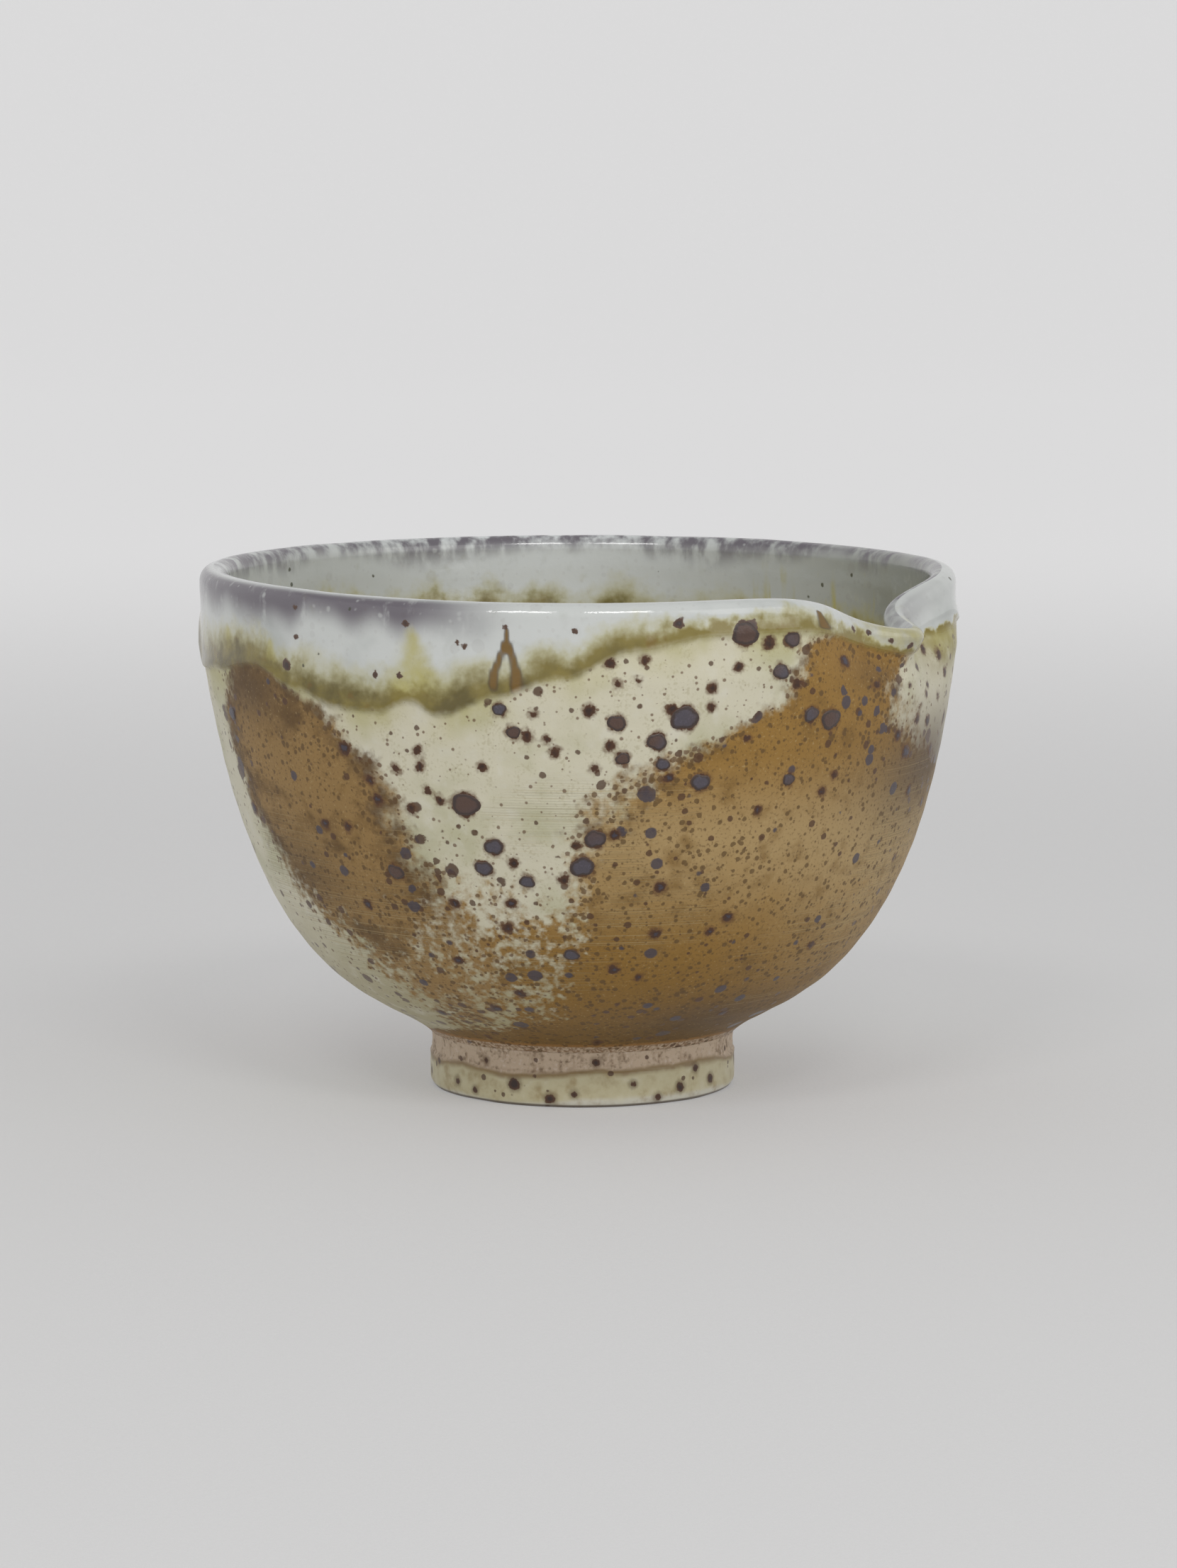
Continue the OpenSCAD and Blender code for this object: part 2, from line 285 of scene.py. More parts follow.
def relief(a, s, r, flat):
    """How far the fired surface stands out from the even glaze coat."""
    run = run_distance(a, s)
    lumps = 0.12 * value_noise(flat, 22, 1) + 0.05 * value_noise(flat, 8, 2)
    rings = 0.05 * np.sin(s / 0.85 + np.radians(a) + 1.5 * value_noise(flat, 15, 3))
    rings *= smooth_step(2, 8, s) * (0.4 + 0.6 * value_noise(flat, 18, 4) ** 2)
    drip = 0.32 + 0.26 * value_noise(flat, 9, 5)
    roll = drip * np.where(run > 0, bell(run / 1.8), bell(run / 0.4))
    spots = spot_distance(a, s, r, SPOTS)
    domes = 0.08 * smooth_step(-0.2, 0.6, spots)
    return lumps + rings + roll + domes


# Height and the angles of both ends of the ochre and tan patches on the outside, from the foot upwards
OCHRE_PATCH = [
    (9, -150, 170), (13, -88, 100), (16, -73, 94), (20, -70, 86), (25, -67, 78), (30, -63, 68),
    (36, -62, 62), (41, -60, 58), (45, -59, 46), (48, -59, 34), (52, -57, 24), (56, -52, 10),
    (59, -46.5, 4), (61, -42, 0), (64, -34.5, -3), (68, -28.5, -4), (72, -25.5, -4), (76, -24, -3),
    (80, -16, -2), (84, -13, -4),
]
TAN_PATCH = [
    (14, -92, -84), (18, -96, -80), (22, -101, -74), (27, -108, -74), (32, -114, -78), (36, -118, -81),
    (41, -121, -85), (46, -125, -87), (49, -126, -90), (52, -127, -89), (55, -128, -91), (58, -128, -93),
    (62, -128, -98), (65, -127, -101), (68, -126, -107), (73, -122, -113),
]
BACK_PATCH = [
    (16, 118, 190), (24, 126, 196), (32, 132, 200), (42, 139, 205), (52, 144, 207), (60, 150, 204),
    (66, 158, 196), (70, 166, 184),
]
# Where the patches come apart into the cream: angle, height, half spreads, amount, and the level left
LOOSE = [
    (-84, 26, 24, 15, 0.97, 0.9), (-70, 27, 10, 8, 0.9, 2), (-72, 39, 11, 5, 0.6, -0.4),
    (-50, 54, 12, 9, 0.7, 0.3), (-100, 34, 22, 8, 0.5, 0.5), (6, 62, 15, 9, 0.8, 0),
]
# Where the thin glaze is painted darker: angle, height, half spread of each, and amount; the one under the
# pouring lip is partly painted shade under its overhang
DARK = [(-117, 67, 10, 5, 1.8), (-114, 38, 10, 6, 1.2), (-24, 16, 24, 5, 1.3), (-9, 72, 6, 4, 1)]

# Angle, upper height, lower height and spread of the yellow-green runs in the rim glaze
RUNS = [(-84, 80.5, 66, 9), (-111, 76, 69, 4), (-124, 77, 69, 6), (88, 79, 68, 8), (168, 77, 69, 6)]
# Angle, lean, upper height, lower height and spread of the amber runs
AMBER_RUNS = [
    (-69.8, 0, 79.8, 76, 0.6), (-69.8, -1.9, 78.5, 71, 0.7), (-69.7, 1.7, 78.5, 70, 0.9),
    (-22, 1.5, 82, 79.5, 1.4), (104, 1, 77, 67, 0.8), (60, -1, 79, 73, 0.6),
]


def patch_distance(a, r, z, patch):
    """How far a place lies inside a patch; outside it is negative."""
    zs, first, last = np.array(patch, float).T
    lo, hi = np.interp(z, zs, first), np.interp(z, zs, last)
    across = (hi - lo) / 2 - np.abs(wrapped(a - (lo + hi) / 2))
    ends = np.minimum(z - zs[0] + 4, zs[-1] + 3 - z)
    return np.minimum(across * np.radians(1) * r, ends)


def run_mask(a, s, r, flat, angle, top, low, spread, lean=0.0, tip=0.4):
    """A run of glaze that starts narrow at its upper height and spreads down to its lower one."""
    reach = (s_outside(top) - s) / (s_outside(top) - s_outside(low))
    fall = np.clip(reach, 0, 1)
    across = wrapped(a - angle) * np.radians(1) * r - lean * fall
    across += fall * (0.5 * value_noise(flat, 2.2, 41) + 0.2 * spread * value_noise(flat, 5, 42))
    shape = bell(1.4 * across / (tip + spread * fall))
    return shape * smooth_step(0, 0.2, fall) * smooth_step(1.3, 1, reach)


def blob(b, z, angle, height, wide, tall, amount=1):
    """A soft round area on the bowl: amount at its middle, and the half spreads that it fades over."""
    return amount * bell((b - angle) / wide) * bell((z - height) / tall)


def around(a, cell, seed):
    """Noise that only changes round the bowl; cell is in degrees."""
    t = np.radians(wrapped(a))
    ring = np.degrees(1)
    return value_noise(np.stack([ring * np.cos(t), ring * np.sin(t), 0 * t], -1), cell, seed)


def fields(a, s, r, z, flat):
    """The values that the glaze materials read, at each point of a grid."""
    outside = s <= S_CREST
    b = wrapped(a)
    depth = np.abs(s - S_CREST)
    run = run_distance(a, s)
    tan = patch_distance(a, r, z, TAN_PATCH)
    patches = [patch_distance(a, r, z, p) for p in (OCHRE_PATCH, BACK_PATCH)]
    patch = np.maximum.reduce([tan, *patches])
    for *place, amount, level in LOOSE:
        loose = blob(b, z, *place, amount)
        patch = patch * (1 - loose) + level * loose
    dark = sum(blob(b, z, *one) for one in DARK)

    side = smooth_step(-66, -86, b) * smooth_step(-178, -150, b) + 0.7 * smooth_step(60, 95, b)
    # Painted shade: the term towards the pouring lip darkens its ear with the blush's mauve
    side += 0.5 * bell((b - 5) / 13)
    wave = 1.4 * around(a, 4, 11)
    blush_and_shade_out = side * smooth_step(8 + wave, 3 + wave, depth) * smooth_step(0.2, 1.6, depth)
    patchy = around(a, 9, 12) + 1.1 * bell((b - 155) / 11) + 1.1 * bell((b - 91) / 11)
    blush_in = smooth_step(-1.3, 0.0, patchy) * smooth_step(5 + 2.5 * patchy, 1.5, depth)

    yellow = np.maximum.reduce([run_mask(a, s, r, flat, *one) for one in RUNS])
    amber = [run_mask(a, s, r, flat, q, top, low, w, lean) for q, lean, top, low, w in AMBER_RUNS]
    amber = np.maximum.reduce(amber)
    above = smooth_step(-1.5, 0.5, run) * outside
    # Painted light: a paler patch on the right of the belly and a fainter one on the tan patch
    lit = blob(b, z, 2, 35, 22, 14) + blob(b, z, -113, 53, 8, 9, 0.5)
    tongue = 0.75 * bell((b + 3) / 10) * smooth_step(-1, 2, run) * outside
    inner_runs = (0.15 + 0.85 * bell((b - 75) / 32)) * smooth_step(2, 9, depth)
    # Just past the pouring lip, towards +Y, the rim glaze's colours reach 3 mm below its edge
    lower_run = 3 * bell((b - 20) / 9) * outside
    return {
        "run": run + lower_run,
        "band": eased(OLIVE_BAND, a),
        "patch": np.where(outside, np.clip(patch, -PATCH_FAR, PATCH_FAR), -PATCH_FAR),
        "tan": np.where(outside, smooth_step(-5, 5, tan), 0),
        # shade is painted shade: on the right of the belly, partly the glaze's own grey-brown, and on the
        # inside's right wall
        "shade": np.where(outside, blob(b, z, 12, 54, 20, 9), bell((b - 45) / 32)),
        # Darker towards the bottom, partly painted shade where the belly turns under
        "dark": np.where(outside, smooth_step(20, 10, z) + dark, 0),
        "blush": np.where(outside, blush_and_shade_out, blush_in),
        "yellow": np.where(outside, np.maximum(yellow * above, tongue), inner_runs),
        "drip": np.where(outside, bell((b - 19) / 9) * smooth_step(66, 72, z) * smooth_step(1, -1, run), 0),
        "amber": amber * above,
        "spot": spot_distance(a, s, r, SPOTS + BLOOMS),
        "inside": np.where(outside, 0.0, 1.0),
        # lit is painted light: outside as above, inside on the back wall
        "lit": np.where(outside, lit, bell((b - 130) / 26)),
    }


def ring_faces(first, second):
    """Quads between two rings of vertex numbers."""
    return np.stack([first, second, np.roll(second, -1), np.roll(first, -1)], -1)


def fan_faces(ring, middle, flip):
    """Triangles that close a ring of vertex numbers onto one middle vertex."""
    pair = (np.roll(ring, -1), ring) if flip else (ring, np.roll(ring, -1))
    return [[int(p), int(q), middle] for p, q in zip(*pair)]


def new_piece(name, points, faces, values, normals=None):
    """A smooth mesh object from points in millimetres, with one float attribute for each of values."""
    mesh = bpy.data.meshes.new(name)
    mesh.from_pydata((points * MM).tolist(), [], faces)
    mesh.polygons.foreach_set("use_smooth", np.ones(len(mesh.polygons), bool))
    for key, value in values.items():
        layer = mesh.attributes.new(key, "FLOAT", "POINT")
        layer.data.foreach_set("value", np.asarray(value, np.float32).ravel())
    mesh.update()
    if normals is not None:
        mesh.normals_split_custom_set_from_vertices(normals.tolist())
    piece = bpy.data.objects.new(name, mesh)
    bpy.context.scene.collection.objects.link(piece)
    return piece


def skin_points(a, s, lift=0.0):
    """Points of the fired surface, raised by lift along the half section's normal."""
    r, z, nr, nz = section_at(s)
    d = relief(a, s, r, placed(r, z, a)) + lift
    return placed(r + d * nr, z + d * nz, a)


def skin(name, first_s, last_s, n_rows, power=1.0, ends_in_middle=False):
    """A closed shell of glaze between two edges, each given as s for every column."""
    steps = np.arange(-1, n_rows + 1)[:, None] / (n_rows - 1)
    steps = np.sign(steps) * np.abs(steps) ** power
    s = first_s + (last_s - first_s) * steps
    a = np.broadcast_to(ANGLES, s.shape)
    grid = skin_points(a, s)
    round_way = np.roll(grid, -1, axis=1) - np.roll(grid, 1, axis=1)
    up_way = np.zeros_like(grid)
    up_way[1:-1] = grid[2:] - grid[:-2]
    normals = np.cross(round_way, up_way)[1:-1]
    normals /= np.maximum(np.linalg.norm(normals, axis=-1, keepdims=True), 1e-9)
    s, a, shown = s[1:-1], a[1:-1], grid[1:-1]

    r, z, nr, nz = section_at(s)
    values = fields(a, s, r, z, placed(r, z, a))
    keep = sorted({*range(0, n_rows, HIDDEN_EVERY), n_rows - 1})
    under = placed(r - GLAZE_T * nr, z - GLAZE_T * nz, a)[keep]
    points = np.concatenate([shown.reshape(-1, 3), under.reshape(-1, 3)])
    normals = np.concatenate([normals.reshape(-1, 3), -normals[keep].reshape(-1, 3)])
    values = {k: np.concatenate([v.ravel(), v[keep].ravel()]) for k, v in values.items()}

    rings = np.arange(len(points)).reshape(-1, len(ANGLES))
    top, low = rings[:n_rows], rings[n_rows:]
    bands = [ring_faces(top[i + 1], top[i]) for i in range(n_rows - 1)]
    bands += [ring_faces(low[i], low[i + 1]) for i in range(len(keep) - 1)]
    bands.append(ring_faces(top[0], low[0]))
    if not ends_in_middle:
        bands.append(ring_faces(low[-1], top[-1]))
    faces = np.concatenate(bands).tolist()
    if ends_in_middle:
        middle = len(points)
        points = np.concatenate([points, [shown[-1].mean(0), under[-1].mean(0)]])
        normals = np.concatenate([normals, [[0, 0, 1], [0, 0, -1]]])
        values = {k: np.append(v, [v[top[-1][0]], v[top[-1][0]]]) for k, v in values.items()}
        faces += fan_faces(top[-1], middle, False) + fan_faces(low[-1], middle + 1, True)
    return new_piece(name, points, faces, values, normals)


def turned(name, profile, relief_at, values_at, closed_loop):
    """A turned piece; its profile runs out under it, up its outside, and back to the axis or its start."""
    profile = np.array(profile, float)
    slope = np.gradient(profile, axis=0)
    normal = np.stack([slope[:, 1], -slope[:, 0]], -1)
    normal /= np.maximum(np.linalg.norm(normal, axis=1), 1e-9)[:, None]
    a = ANGLES[None, ::2]
    r, z = (c[:, None] + 0 * a for c in profile.T)
    t = np.radians(a)
    d = relief_at(a + 0 * r, r, z, np.stack([r * np.cos(t), r * np.sin(t), z], -1))
    shown_r, shown_z = r + d * normal[:, :1], z + d * normal[:, 1:]
    points = np.stack([shown_r * np.cos(t), shown_r * np.sin(t), shown_z], -1)
    rings = np.arange(z.size).reshape(z.shape)
    after = rings if closed_loop else rings[:-1]
    bands = [ring_faces(rings[(i + 1) % len(rings)], rings[i]) for i in range(len(after))]
    faces = np.concatenate(bands).tolist()
    values = {k: v.ravel() for k, v in values_at(a + 0 * r, r, z).items()}
    points = points.reshape(-1, 3)
    if not closed_loop:
        ends = [points[rings[0]].mean(0), points[rings[-1]].mean(0)]
        faces += fan_faces(rings[0], len(points), True) + fan_faces(rings[-1], len(points) + 1, False)
        points = np.concatenate([points, ends])
        values = {k: np.append(v, v[[rings[0][0], rings[-1][0]]]) for k, v in values.items()}
    return new_piece(name, points, faces, values)


def line(start, end, spacing):
    """Points from start to end, without the end."""
    start, end = np.array(start, float), np.array(end, float)
    n = max(1, round(np.linalg.norm(end - start) / spacing))
    return [start + (end - start) * i / n for i in range(n)]


def arc(centre, radius, first, last, n):
    """Points of an arc between two angles in degrees."""
    t = np.radians(np.linspace(first, last, n))
    return [np.array(centre) + radius * np.array([np.cos(q), np.sin(q)]) for q in t]


def foot_glaze():
    """The foot's skin of glaze: its outside, with the waist left by turning, and its hidden inside."""
    outer = arc(BEND, FOOT_ROUND + GLAZE_T, -45, 0, 9)
    side = line(outer[-1], [FOOT_R, FOOT_H], 0.25)[1:] + [np.array([FOOT_R, FOOT_H])]
    inner = [np.array([CLAY_R, FOOT_H])] + arc(BEND, FOOT_ROUND, 0, -45, 5)

    def relief_at(a, r, z, flat):
        shown = (r > CLAY_R + 0.01) | (np.hypot(r - BEND[0], z - BEND[1]) > FOOT_ROUND + 0.1)
        waist = -0.3 * bell((z - 7.2) / 1.7) + 0.12 * bell((z - 5.3) / 0.3) - 0.12 * bell((z - 5.9) / 0.25)
        rough = 0.07 * value_noise(flat, 5, 21)
        rough += 0.05 * value_noise(flat * [1, 1, 0.5], 1.3, 22) * bell((z - 7) / 2)
        return np.where(shown, (waist + rough) * smooth_step(FOOT_H, FOOT_H - 0.5, z), 0)

    def values_at(a, r, z):
        best = np.full(a.shape, -SPOT_FAR)
        for angle, height, size in FOOT_SPOTS:
            across = wrapped(a - angle) * np.radians(1) * r
            best = np.maximum(best, size / 2 - np.hypot(across, z - height))
        return {"spot": best}

    return turned("foot_glaze_fired", outer + side + inner, relief_at, values_at, True)


def foot_ring():
    """The clay of the foot, with turning marks in the hollow under it."""
    profile = line([0.3, RECESS_H], [RECESS_R - 1, RECESS_H], 0.4)
    profile += line([RECESS_R - 1, RECESS_H], [RECESS_R - 0.15, 0.3], 0.4)
    profile += arc([RECESS_R + 0.15, 0.3], 0.3, 180, 270, 4)
    profile += line([RECESS_R + 0.6, 0], [BEND[0], 0], 0.4)
    profile += arc(BEND, FOOT_ROUND, -90, 0, 9)
    profile += line([CLAY_R, FOOT_ROUND + 0.5], [CLAY_R, FOOT_H], 1.5)
    profile += line([CLAY_R, FOOT_H], [0.3, FOOT_H], 4) + [np.array([0.3, FOOT_H])]

    def relief_at(a, r, z, flat):
        under = (r < RECESS_R - 0.5) & (z < RECESS_H + 0.1)
        rings = 0.1 * np.sin(2 * np.pi * r / 1.9 + np.radians(a)) + 0.08 * value_noise(flat, 2.5, 31)
        fade = smooth_step(0.3, 3, r) * smooth_step(RECESS_R - 0.5, RECESS_R - 2.5, r)
        return np.where(under, rings * fade, 0)

    return turned("foot_ring_fired", profile, relief_at, lambda a, r, z: {}, False)


def iron_blooms():
    """The large iron blooms as one mesh of low uneven domes that follow the glaze."""
    turn = np.linspace(0, 2 * np.pi, 29)[:-1]
    reach = np.array([0.12, 0.4, 0.65, 0.85, 0.97, 1.04, 1.04])
    lift = np.array([0.14, 0.15, 0.13, 0.09, 0.03, -0.06, -0.2])
    points, faces, edge = [], [], []
    for number, (angle, z, size) in enumerate(BLOOMS):
        r0 = section_at(s_outside(z))[0]
        wobble = 1 + 0.13 * np.cos(2 * turn + 0.6 * np.sin(number)) + 0.07 * np.cos(3 * turn + 1.3 * number)
        wobble += 0.04 * np.cos(5 * turn + number)
        across = reach[:, None] * size / 2 * wobble * np.cos(turn)
        along = reach[:, None] * size / 2 * wobble * np.sin(turn)
        grid = skin_points(angle + np.degrees(across / r0), s_outside(z) + along, lift[:, None])
        base = sum(len(p) for p in points)
        rings = base + np.arange(grid[..., 0].size).reshape(len(reach), len(turn))
        points += [grid.reshape(-1, 3), grid[[0, -1]].mean(1)]
        edge += [np.repeat(reach, len(turn)), [0, 1]]
        middle = int(rings[-1, -1]) + 1
        faces += np.concatenate([ring_faces(rings[i], rings[i + 1]) for i in range(len(reach) - 1)]).tolist()
        faces += fan_faces(rings[0], middle, False) + fan_faces(rings[-1], middle + 1, True)
    return new_piece("iron_blooms_fired", np.concatenate(points), faces, {"edge": np.concatenate(edge)})


def linear(r, g, b):
    """Scene-linear colour of an sRGB colour given from 0 to 255."""
    c = np.array([r, g, b]) / 255
    c = np.where(c <= 0.04045, c / 12.92, ((c + 0.055) / 1.055) ** 2.4)
    return (*c.tolist(), 1.0)


class Finish:
    """A material being built: each method adds a node and gives back its output socket."""

    def __init__(self, name, **settings):
        self.material = bpy.data.materials.new(name)
        self.material.use_nodes = True
        self.nodes = self.material.node_tree.nodes
        self.links = self.material.node_tree.links
        self.surface = self.nodes["Principled BSDF"]
        self.finish(**settings)
        place = {"Vector": self.nodes.new("ShaderNodeTexCoord").outputs["Object"], "Scale": 1 / MM}
        self.mm = self.add("ShaderNodeVectorMath", place, operation="SCALE").outputs[0]
        self.z = self.add("ShaderNodeSeparateXYZ", {"Vector": self.mm}).outputs["Z"]

    def add(self, kind, inputs, **settings):
        node = self.nodes.new(kind)
        for key, value in settings.items():
            setattr(node, key, value)
        for key, value in inputs.items():
            self.put(node.inputs[key], value)
        return node

    def put(self, socket, value):
        if isinstance(value, bpy.types.NodeSocket):
            self.links.new(value, socket)
        else:
            socket.default_value = value

    def finish(self, **settings):
        for key, value in settings.items():
            self.put(self.surface.inputs[key.replace("_", " ")], value)

    def field(self, name):
        return self.add("ShaderNodeAttribute", {}, attribute_name=name).outputs["Fac"]

    def math(self, operation, *values):
        return self.add("ShaderNodeMath", dict(enumerate(values)), operation=operation).outputs[0]

    def plus(self, *values):
        total = values[0]
        for value in values[1:]:
            total = self.math("ADD", total, value)
        return total

    def times(self, *values):
        total = values[0]
        for value in values[1:]:
            total = self.math("MULTIPLY", total, value)
        return total

    def step(self, value, low, high):
        """0 at low to 1 at high, eased; low may be the larger."""
        inputs = {"Value": value, "From Min": low, "From Max": high}
        return self.add("ShaderNodeMapRange", inputs, interpolation_type="SMOOTHSTEP").outputs["Result"]

    def shifted(self, seed, stretch=(1, 1, 1)):
        inputs = {"Vector": self.mm, "Location": (seed * 17.3, seed * 5.9, seed * 11.1), "Scale": stretch}
        return self.add("ShaderNodeMapping", inputs).outputs["Vector"]

    def noise(self, cell, amount=1.0, detail=2.0, seed=0, stretch=(1, 1, 1)):
        """Noise of about -amount to amount, with features of about cell millimetres."""
        inputs = {"Vector": self.shifted(seed, stretch), "Scale": 1 / cell, "Detail": detail}
        fac = self.add("ShaderNodeTexNoise", inputs).outputs["Fac"]
        return self.math("MULTIPLY_ADD", fac, 3 * amount, -1.5 * amount)

    def specks(self, cell, biggest, share, seed, soft=0.12, edge=0.1):
        """Scattered round specks: the part of the cells given by share has one, of up to biggest radius."""
        node = self.add("ShaderNodeTexVoronoi", {"Vector": self.shifted(seed), "Scale": 1 / cell})
        distance = self.times(node.outputs["Distance"], cell)
        chance = self.add("ShaderNodeSeparateColor", {"Color": node.outputs["Color"]}).outputs[0]
        radius = self.times(self.math("SUBTRACT", share, chance), biggest)
        inside = self.plus(self.math("SUBTRACT", radius, distance), self.noise(0.5, edge, seed=seed))
        return self.step(inside, -soft, soft)

    def mix(self, factor, first, second):
        node = self.nodes.new("ShaderNodeMix")
        node.data_type = "RGBA"
        for index, value in ((0, factor), (6, first), (7, second)):
            self.put(node.inputs[index], value)
        return node.outputs[2]

    def paint(self, first, *layers):
        """Colour built up from a first one by (mask, colour) layers, each over the last."""
        colour = first
        for mask, over in layers:
            colour = self.mix(mask, colour, over)
        return colour

    def bump(self, height, size):
        """Relief too fine for the mesh; size is its height in millimetres."""
        inputs = {"Height": height, "Strength": 1.0, "Distance": size * MM}
        self.put(self.surface.inputs["Normal"], self.add("ShaderNodeBump", inputs).outputs["Normal"])


CREAM = linear(210, 205, 182)
CREAM_GREEN = linear(190, 187, 156)
CREAM_DULL = linear(159, 149, 106)
CREAM_PALE = linear(216, 213, 198)
OCHRE = linear(150, 114, 52)
OCHRE_HIGH = linear(188, 165, 121)
OCHRE_DEEP = linear(123, 92, 40)
OCHRE_LOW = linear(142, 106, 41)
OCHRE_PALE = linear(188, 166, 120)
TAN = linear(150, 119, 70)
BROWN = linear(92, 68, 36)
SHADE = linear(92, 74, 52)
IRON = linear(54, 38, 32)
RUST = linear(98, 64, 36)
GREY_GREEN = linear(112, 114, 102)
IRON_RED = linear(82, 54, 36)
IRON_BLUE = linear(72, 66, 75)
PALE = linear(205, 208, 205)
PALE_GREY = linear(184, 188, 185)
PALE_LIT = linear(222, 226, 226)
MAUVE = linear(98, 91, 100)
OLIVE = linear(124, 108, 24)
OLIVE_DARK = linear(84, 73, 18)
YELLOW_GREEN = linear(178, 169, 88)
AMBER = linear(116, 84, 4)
AMBER_DARK = linear(54, 38, 10)
RIM_SPECK = linear(60, 60, 40)
FOOT_EDGE_AND_SHADOW = linear(74, 58, 44)
FOOT_BROWN = linear(140, 112, 84)
JOINT = linear(146, 106, 54)
FOOT_MAUVE = linear(196, 176, 152)
FOOT_MAUVE_PALE = linear(212, 198, 184)
FOOT_PALE = linear(208, 205, 190)
FOOT_CREAM = linear(194, 186, 152)
FOOT_DULL = linear(146, 122, 76)
CLAY = linear(150, 118, 88)
CLAY_DARK = linear(124, 92, 64)
CLAY_GRIT = linear(96, 70, 50)
IRON_SHEEN = linear(98, 90, 104)
PAPER = (0.46, 0.457, 0.452, 1.0)
PAPER_GLOW = (1, 1, 1.01, 1)
# Roughness of iron spots, as the grey that a mix of two values takes
IRON_ROUGH = (0.3, 0.3, 0.3, 1)


FIELDS = (
    "run", "band", "patch", "tan", "shade", "dark", "blush", "yellow", "amber", "drip", "spot", "inside", "lit",
)


def shared_masks(f):
    """The mesh's fields, and the noises and masks that the layers of both glazes share."""
    at = SimpleNamespace(**{key: f.field(key) for key in FIELDS})
    at.grain = f.noise(0.45, 1, 1, seed=1)
    at.mottle = f.noise(3, 1, 4, seed=2)
    at.cloud = f.noise(11, 1, 3, seed=3)
    coarse = f.plus(1.0, f.times(f.step(f.z, 50, 24), 1.2))
    torn = f.times(f.noise(1.3, 2.3, 4, seed=5), coarse)
    at.ragged = f.plus(at.patch, f.noise(6, 2.6, 3, seed=4), torn)
    at.thin = f.step(f.plus(at.ragged, f.times(at.grain, 0.6)), -2.0, 2.6)
    at.fringe = f.times(f.step(at.ragged, -3, 0.2), f.step(at.ragged, 5.5, 1.0), f.step(f.z, 24, 52))
    at.rim = f.step(f.plus(at.run, f.noise(2.2, 0.5, 3, seed=7)), -1.1, 0.7)
    return at


def turning_lines(f):
    """Fine level lines left by the turning tool on the lower wall."""
    level = f.plus(f.times(f.z, 0.5), f.noise(30, 0.1, 1, seed=18))
    level = f.add("ShaderNodeTexNoise", {"W": level, "Detail": 2.0}, noise_dimensions="1D").outputs[0]
    off_line = f.math("ABSOLUTE", f.math("SUBTRACT", level, 0.5))
    lines = f.times(f.step(off_line, 0.022, 0.004), f.step(f.noise(18, 1, 2, seed=6), -0.2, 0.4))
    return f.times(lines, f.step(f.z, 60, 50))


def body_colour(f, at, lines):
    """Body glaze: cream where it is thick, ochre and tan where it is thin."""
    cream = f.paint(
        CREAM,
        (f.step(at.cloud, -0.2, 0.7), CREAM_GREEN),
        (f.times(f.step(f.plus(f.z, f.times(at.cloud, 5)), 36, 14), 0.8), CREAM_DULL),
        (f.times(f.step(at.mottle, 0.1, 0.8), 0.5), CREAM_PALE),
        (f.times(f.step(f.plus(at.mottle, at.grain), -0.2, -1.0), 0.3), CREAM_DULL),
    )
    high = f.step(f.plus(f.z, f.times(at.cloud, 7)), 24, 46)
    ochre = f.paint(
        OCHRE,
        (f.times(high, f.step(f.z, 60, 46), 0.55), OCHRE_HIGH),
        (f.step(f.z, 44, 20), OCHRE_LOW),
        # Painted light on the ochre where lit is high
        (f.times(at.lit, f.step(at.mottle, -1.5, 0.5), 0.55), OCHRE_HIGH),
        (at.tan, TAN),
        (f.times(f.step(f.plus(at.mottle, at.cloud), 0.0, 1.1), 0.7), OCHRE_DEEP),
        (f.times(f.step(f.plus(at.cloud, f.times(at.mottle, 0.5)), 0, 0.9), at.tan, 0.7), BROWN),
        # Darker from the dark field, partly painted shade
        (f.times(at.dark, 0.5), BROWN),
        (f.times(f.step(at.grain, 0.15, 0.7), 0.5), BROWN),
        (f.times(f.step(at.grain, -0.4, -0.85), 0.4), OCHRE_PALE),
    )
    foot_join = f.mix(f.step(at.grain, -0.5, 0.5), FOOT_MAUVE, FOOT_BROWN)
    return f.paint(
        f.mix(at.thin, cream, ochre),
        (f.times(at.fringe, f.step(f.plus(at.mottle, f.times(at.tan, 0.9)), -0.2, 1.0), 0.85), BROWN),
        # Painted shade on the right of the belly, partly the glaze's own grey-brown
        (f.times(at.shade, f.math("SUBTRACT", 0.9, at.inside)), SHADE),
        (f.times(at.drip, f.step(at.mottle, -1, 0.5), 0.85), OLIVE),
        (f.times(lines, 0.4), OCHRE_PALE),
        (f.step(f.z, 10.6, 10.2), JOINT),
        (f.step(f.z, 10.1, 9.7), foot_join),
    )


